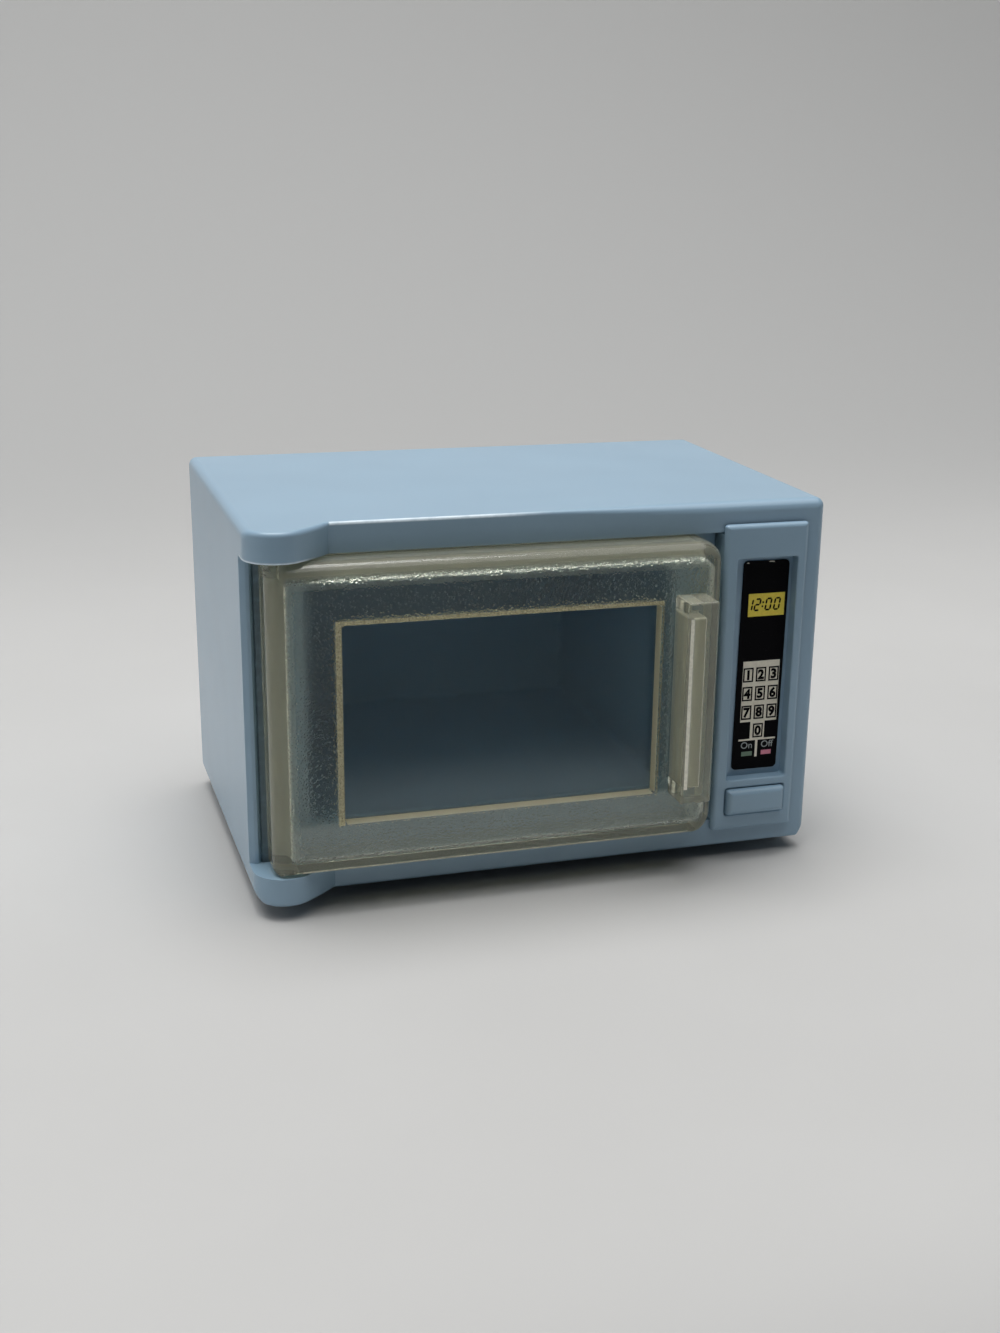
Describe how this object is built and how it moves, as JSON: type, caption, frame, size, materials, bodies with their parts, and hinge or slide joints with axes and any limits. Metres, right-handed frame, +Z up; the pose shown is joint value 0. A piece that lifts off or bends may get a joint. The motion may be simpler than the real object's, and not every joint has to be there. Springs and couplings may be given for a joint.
{
  "type": "dollhouse microwave",
  "caption": "Toy microwave oven for fashion dolls: blue case, clear side-hinged door with sunk window and bar handle, keypad panel and push button.",
  "frame": {"origin": "centre of the footprint of the whole toy, handle included, on the surface that its feet stand on", "axes": "+X to the right as seen from the front, +Y from the door to the back, +Z up"},
  "size_m": [0.088, 0.0658, 0.0568],
  "materials": {
    "case_plastic": "pale steel-blue moulded plastic, soft gloss",
    "liner_plastic": "steel-blue moulded plastic, dull",
    "clear_plastic": "clear plastic yellowed by age, border frosted by a fine grain",
    "printed_label": "black printed sheet with a yellow display and a white keypad",
    "spring_steel": "bright spring wire"
  },
  "bodies": {
    "case": {"case_shell": "case_plastic", "oven_liner": "liner_plastic", "rear_cover": "case_plastic", "control_panel": "case_plastic", "panel_label": "printed_label", "button_spring": "spring_steel"},
    "door": {"door": "clear_plastic"},
    "button": {"release_button": "case_plastic"}
  },
  "joints": [
    {"name": "door_hinge", "type": "hinge", "parent": "case", "child": "door", "pos_m": [-0.0394, -0.02465, 0.0295], "axis": [0, 0, -1], "range_deg": [0, 178]},
    {"name": "button_press", "type": "slide", "parent": "case", "child": "button", "axis": [0, 1, 0], "range_m": [0, 0.0009], "stiffness_N_per_m": 400, "springref_m": -0.0008, "deforming": ["button_spring"]}
  ]
}
